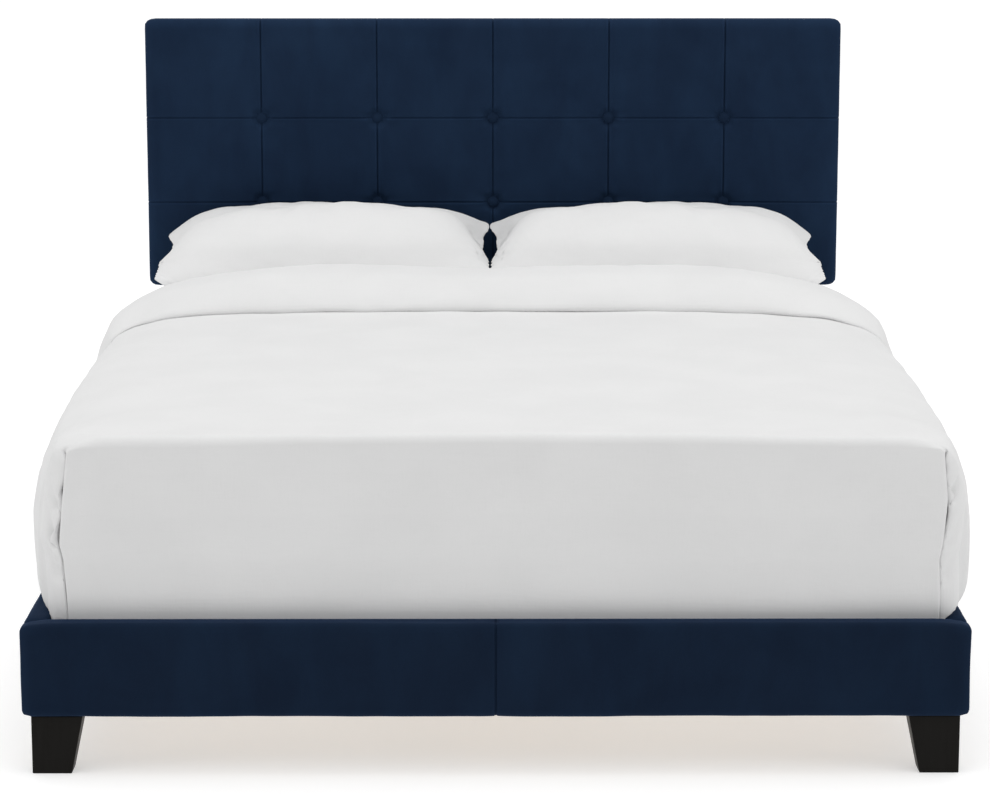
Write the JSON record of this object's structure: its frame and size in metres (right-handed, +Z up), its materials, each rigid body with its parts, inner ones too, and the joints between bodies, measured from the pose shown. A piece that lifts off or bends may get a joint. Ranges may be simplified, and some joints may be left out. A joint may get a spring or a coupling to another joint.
{
  "type": "upholstered headboard bed",
  "caption": "Low queen-size bed with a button-tufted velvet headboard, velvet rails, tapered legs, slatted base, mattress, duvet and pillows.",
  "frame": {"origin": "on the floor, under the middle of the bed's bounding box", "axes": "+Z up, +Y from the foot of the bed to the headboard, +X to the right as seen from the foot"},
  "size_m": [1.722, 2.18, 1.182],
  "materials": {
    "velvet": "matte",
    "pine": "matte",
    "plywood": "matte",
    "foam": "matte",
    "back_cloth": "matte",
    "black_wood": "satin",
    "black_steel": "satin",
    "zinc_steel": "satin",
    "mattress_ticking": "matte",
    "duvet_cotton": "matte",
    "pillow_cotton": "matte"
  },
  "bodies": {
    "bed_frame": {"bracket_foot_left": "black_steel", "bracket_foot_right": "black_steel", "bracket_head_left": "black_steel", "bracket_head_right": "black_steel", "centre_beam": "pine", "centre_leg_foot": "black_wood", "centre_leg_head": "black_wood", "foot_leg_left": "black_wood", "foot_leg_right": "black_wood", "foot_rail_board": "pine", "foot_rail_cover": "velvet", "head_rail": "pine", "headboard_batten_lower": "pine", "headboard_batten_upper": "pine", "headboard_bolt_left_lower": "zinc_steel", "headboard_bolt_left_upper": "zinc_steel", "headboard_bolt_right_lower": "zinc_steel", "headboard_bolt_right_upper": "zinc_steel", "headboard_cover": "velvet", "headboard_dust_cover": "back_cloth", "headboard_foam": "foam", "headboard_panel": "plywood", "headboard_post_left": "black_wood", "headboard_post_right": "black_wood", "ledger_left": "pine", "ledger_right": "pine", "side_rail_board_left": "pine", "side_rail_board_right": "pine", "side_rail_cover_left": "velvet", "side_rail_cover_right": "velvet", "slat_01": "pine", "slat_02": "pine", "slat_03": "pine", "slat_04": "pine", "slat_05": "pine", "slat_06": "pine", "slat_07": "pine", "slat_08": "pine", "slat_09": "pine", "slat_10": "pine", "slat_11": "pine", "slat_12": "pine", "tuft_button_01": "velvet", "tuft_button_02": "velvet", "tuft_button_03": "velvet", "tuft_button_04": "velvet", "tuft_button_05": "velvet", "tuft_button_06": "velvet", "tuft_button_07": "velvet", "tuft_button_08": "velvet", "tuft_button_09": "velvet", "tuft_button_10": "velvet"},
    "mattress": {"mattress": "mattress_ticking"},
    "duvet": {"duvet": "duvet_cotton"},
    "pillow_left_back": {"pillow_left_back": "pillow_cotton"},
    "pillow_left_front": {"pillow_left_front": "pillow_cotton"},
    "pillow_right_back": {"pillow_right_back": "pillow_cotton"},
    "pillow_right_front": {"pillow_right_front": "pillow_cotton"},
    "levelling_foot_foot": {"levelling_foot_foot": "zinc_steel"},
    "levelling_foot_head": {"levelling_foot_head": "zinc_steel"}
  },
  "joints": [
    {"name": "mattress_lift", "type": "slide", "parent": "bed_frame", "child": "mattress", "axis": [0, 0, 1], "range_m": [0, 0.4]},
    {"name": "duvet_lift", "type": "slide", "parent": "mattress", "child": "duvet", "axis": [0, 0, 1], "range_m": [0, 0.35]},
    {"name": "pillow_left_back_lift", "type": "slide", "parent": "mattress", "child": "pillow_left_back", "axis": [0, 0, 1], "range_m": [0, 0.3]},
    {"name": "pillow_left_front_lift", "type": "slide", "parent": "pillow_left_back", "child": "pillow_left_front", "axis": [0, 0, 1], "range_m": [0, 0.3]},
    {"name": "pillow_right_back_lift", "type": "slide", "parent": "mattress", "child": "pillow_right_back", "axis": [0, 0, 1], "range_m": [0, 0.3]},
    {"name": "pillow_right_front_lift", "type": "slide", "parent": "pillow_right_back", "child": "pillow_right_front", "axis": [0, 0, 1], "range_m": [0, 0.3]},
    {"name": "levelling_foot_foot_screw", "type": "slide", "parent": "bed_frame", "child": "levelling_foot_foot", "axis": [0, 0, -1], "range_m": [0, 0.01]},
    {"name": "levelling_foot_head_screw", "type": "slide", "parent": "bed_frame", "child": "levelling_foot_head", "axis": [0, 0, -1], "range_m": [0, 0.01]}
  ]
}
